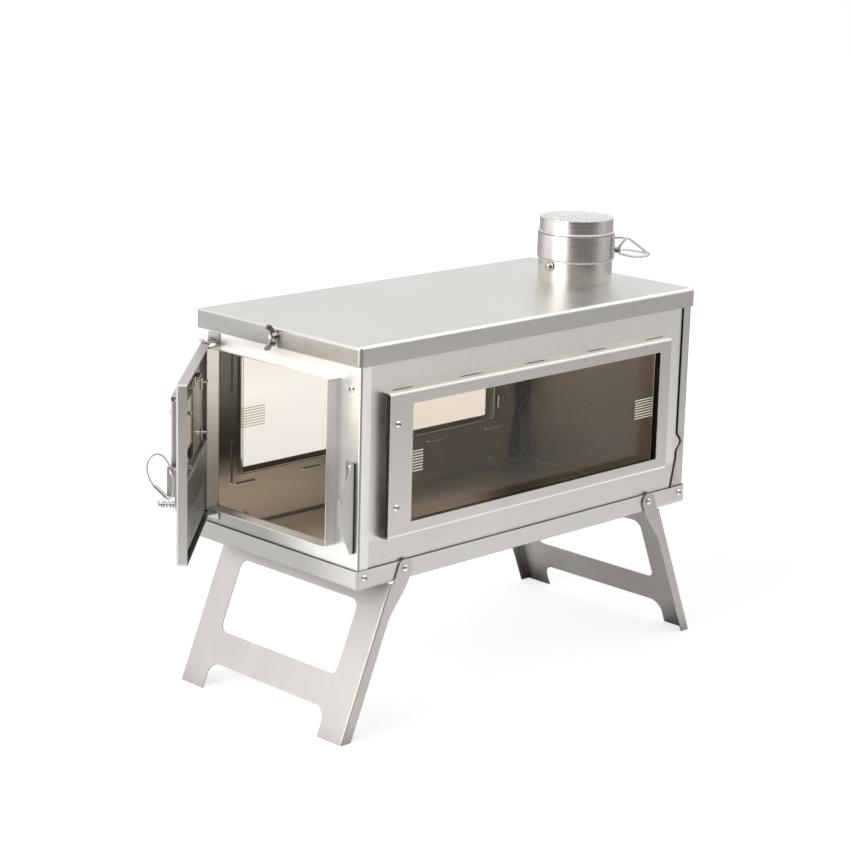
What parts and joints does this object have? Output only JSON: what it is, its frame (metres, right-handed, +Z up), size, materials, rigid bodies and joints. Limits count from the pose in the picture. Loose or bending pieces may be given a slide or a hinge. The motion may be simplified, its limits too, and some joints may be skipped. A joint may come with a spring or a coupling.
{
  "type": "tent wood stove",
  "caption": "Folding-leg tent wood stove with glass side windows, a hinged glass door on a sprung latch, a lift-off lid and a flue spigot with damper and spark screen.",
  "frame": {"origin": "centre of the base pan's underside, where the legs' pivots sit either side of it", "axes": "+Z up, -Y the door end, +X the long side at the right of someone who faces the door"},
  "size_m": [0.2258, 0.5777, 0.394],
  "materials": {
    "base_pan": "brushed stainless sheet, fine straight grain",
    "front_panel": "brushed stainless sheet, fine straight grain",
    "back_panel": "brushed stainless sheet, fine straight grain",
    "right_side_panel": "brushed stainless sheet, fine straight grain",
    "left_side_panel": "brushed stainless sheet, fine straight grain",
    "right_window_frame": "brushed stainless sheet, fine straight grain",
    "left_window_frame": "brushed stainless sheet, fine straight grain",
    "latch_catch": "brushed stainless sheet, fine straight grain",
    "hinge_brackets": "brushed stainless sheet, fine straight grain",
    "lid": "brushed stainless sheet, fine straight grain",
    "flue_collar": "brushed stainless sheet, fine straight grain",
    "damper_section": "brushed stainless sheet, fine straight grain",
    "damper_disc": "brushed stainless sheet, fine straight grain",
    "spark_cap_ring": "brushed stainless sheet, fine straight grain",
    "door_panel": "brushed stainless sheet, fine straight grain",
    "door_window_frame": "brushed stainless sheet, fine straight grain",
    "door_baffle": "brushed stainless sheet, fine straight grain",
    "air_shutter": "brushed stainless sheet, fine straight grain",
    "shutter_rails": "brushed stainless sheet, fine straight grain",
    "latch_lever": "brushed stainless sheet, fine straight grain",
    "front_leg": "brushed stainless sheet, fine straight grain",
    "rear_leg": "brushed stainless sheet, fine straight grain",
    "window_screws": "bright stainless fastener or wire",
    "window_glass_clips": "bright stainless fastener or wire",
    "front_panel_screws": "bright stainless fastener or wire",
    "pan_screws": "bright stainless fastener or wire",
    "leg_pivot_rivets": "bright stainless fastener or wire",
    "hinge_pins": "bright stainless fastener or wire",
    "lid_studs": "bright stainless fastener or wire",
    "front_wing_nut": "bright stainless fastener or wire",
    "rear_wing_nut": "bright stainless fastener or wire",
    "collar_screw": "bright stainless fastener or wire",
    "damper_shaft": "bright stainless fastener or wire",
    "damper_handle": "bright stainless fastener or wire",
    "spark_mesh": "bright stainless fastener or wire",
    "door_glass_clips": "bright stainless fastener or wire",
    "door_frame_screws": "bright stainless fastener or wire",
    "latch_pivot_screw": "bright stainless fastener or wire",
    "latch_spring": "bright stainless fastener or wire",
    "lanyard_ferrule": "bright stainless fastener or wire",
    "lanyard_cable": "twisted stainless wire rope",
    "right_window_glass": "heat-proof clear glass with a faint warm tint",
    "left_window_glass": "heat-proof clear glass with a faint warm tint",
    "door_glass": "heat-proof amber glass"
  },
  "bodies": {
    "stove_body": {"base_pan": "base_pan", "front_panel": "front_panel", "back_panel": "back_panel", "right_side_panel": "right_side_panel", "left_side_panel": "left_side_panel", "right_window_frame": "right_window_frame", "left_window_frame": "left_window_frame", "right_window_glass": "right_window_glass", "left_window_glass": "left_window_glass", "window_screws": "window_screws", "window_glass_clips": "window_glass_clips", "latch_catch": "latch_catch", "front_panel_screws": "front_panel_screws", "pan_screws": "pan_screws", "leg_pivot_rivets": "leg_pivot_rivets", "hinge_brackets": "hinge_brackets", "hinge_pins": "hinge_pins", "lid_studs": "lid_studs"},
    "front_wing_nut": {"front_wing_nut": "front_wing_nut"},
    "rear_wing_nut": {"rear_wing_nut": "rear_wing_nut"},
    "lid": {"lid": "lid", "flue_collar": "flue_collar", "collar_screw": "collar_screw"},
    "damper_section": {"damper_section": "damper_section"},
    "damper_valve": {"damper_disc": "damper_disc", "damper_shaft": "damper_shaft", "damper_handle": "damper_handle"},
    "spark_cap": {"spark_cap_ring": "spark_cap_ring", "spark_mesh": "spark_mesh"},
    "door": {"door_panel": "door_panel", "door_window_frame": "door_window_frame", "door_glass": "door_glass", "door_glass_clips": "door_glass_clips", "door_frame_screws": "door_frame_screws", "door_baffle": "door_baffle", "shutter_rails": "shutter_rails", "latch_pivot_screw": "latch_pivot_screw", "latch_spring": "latch_spring"},
    "air_shutter": {"air_shutter": "air_shutter"},
    "latch": {"latch_lever": "latch_lever", "lanyard_cable": "lanyard_cable", "lanyard_ferrule": "lanyard_ferrule"},
    "front_leg": {"front_leg": "front_leg"},
    "rear_leg": {"rear_leg": "rear_leg"}
  },
  "joints": [
    {"name": "front_wing_nut_turn", "type": "hinge", "parent": "stove_body", "child": "front_wing_nut", "pos_m": [0, -0.214, 0.1975], "axis": [0, -1, 0], "continuous": true},
    {"name": "rear_wing_nut_turn", "type": "hinge", "parent": "stove_body", "child": "rear_wing_nut", "pos_m": [0, 0.214, 0.1975], "axis": [0, 1, 0], "continuous": true},
    {"name": "lid_lift", "type": "slide", "parent": "stove_body", "child": "lid", "axis": [0, 0, 1], "range_m": [0, 0.06]},
    {"name": "damper_section_lift", "type": "slide", "parent": "lid", "child": "damper_section", "axis": [0, 0, 1], "range_m": [0, 0.03]},
    {"name": "damper_turn", "type": "hinge", "parent": "damper_section", "child": "damper_valve", "pos_m": [0, 0.16, 0.2327], "axis": [0.7071, 0.7071, 0], "range_deg": [0, 90]},
    {"name": "spark_cap_lift", "type": "slide", "parent": "damper_section", "child": "spark_cap", "axis": [0, 0, 1], "range_m": [0, 0.04]},
    {"name": "door_swing", "type": "hinge", "parent": "stove_body", "child": "door", "pos_m": [-0.082, -0.2176, 0.104], "axis": [0, 0, 1], "range_deg": [-74, 46]},
    {"name": "air_shutter_slide", "type": "slide", "parent": "door", "child": "air_shutter", "axis": [0.6947, -0.7193, 0], "range_m": [-0.005, 0.005]},
    {"name": "latch_turn", "type": "hinge", "parent": "door", "child": "latch", "pos_m": [0.02001, -0.33317, 0.079], "axis": [-0.7193, -0.6947, 0], "range_deg": [-90, 2]},
    {"name": "front_leg_fold", "type": "hinge", "parent": "stove_body", "child": "front_leg", "pos_m": [0, -0.1575, 0.01], "axis": [1, 0, 0], "range_deg": [0, 112.5]},
    {"name": "rear_leg_fold", "type": "hinge", "parent": "stove_body", "child": "rear_leg", "pos_m": [0, 0.1575, 0.01], "axis": [-1, 0, 0], "range_deg": [0, 112.5]}
  ]
}
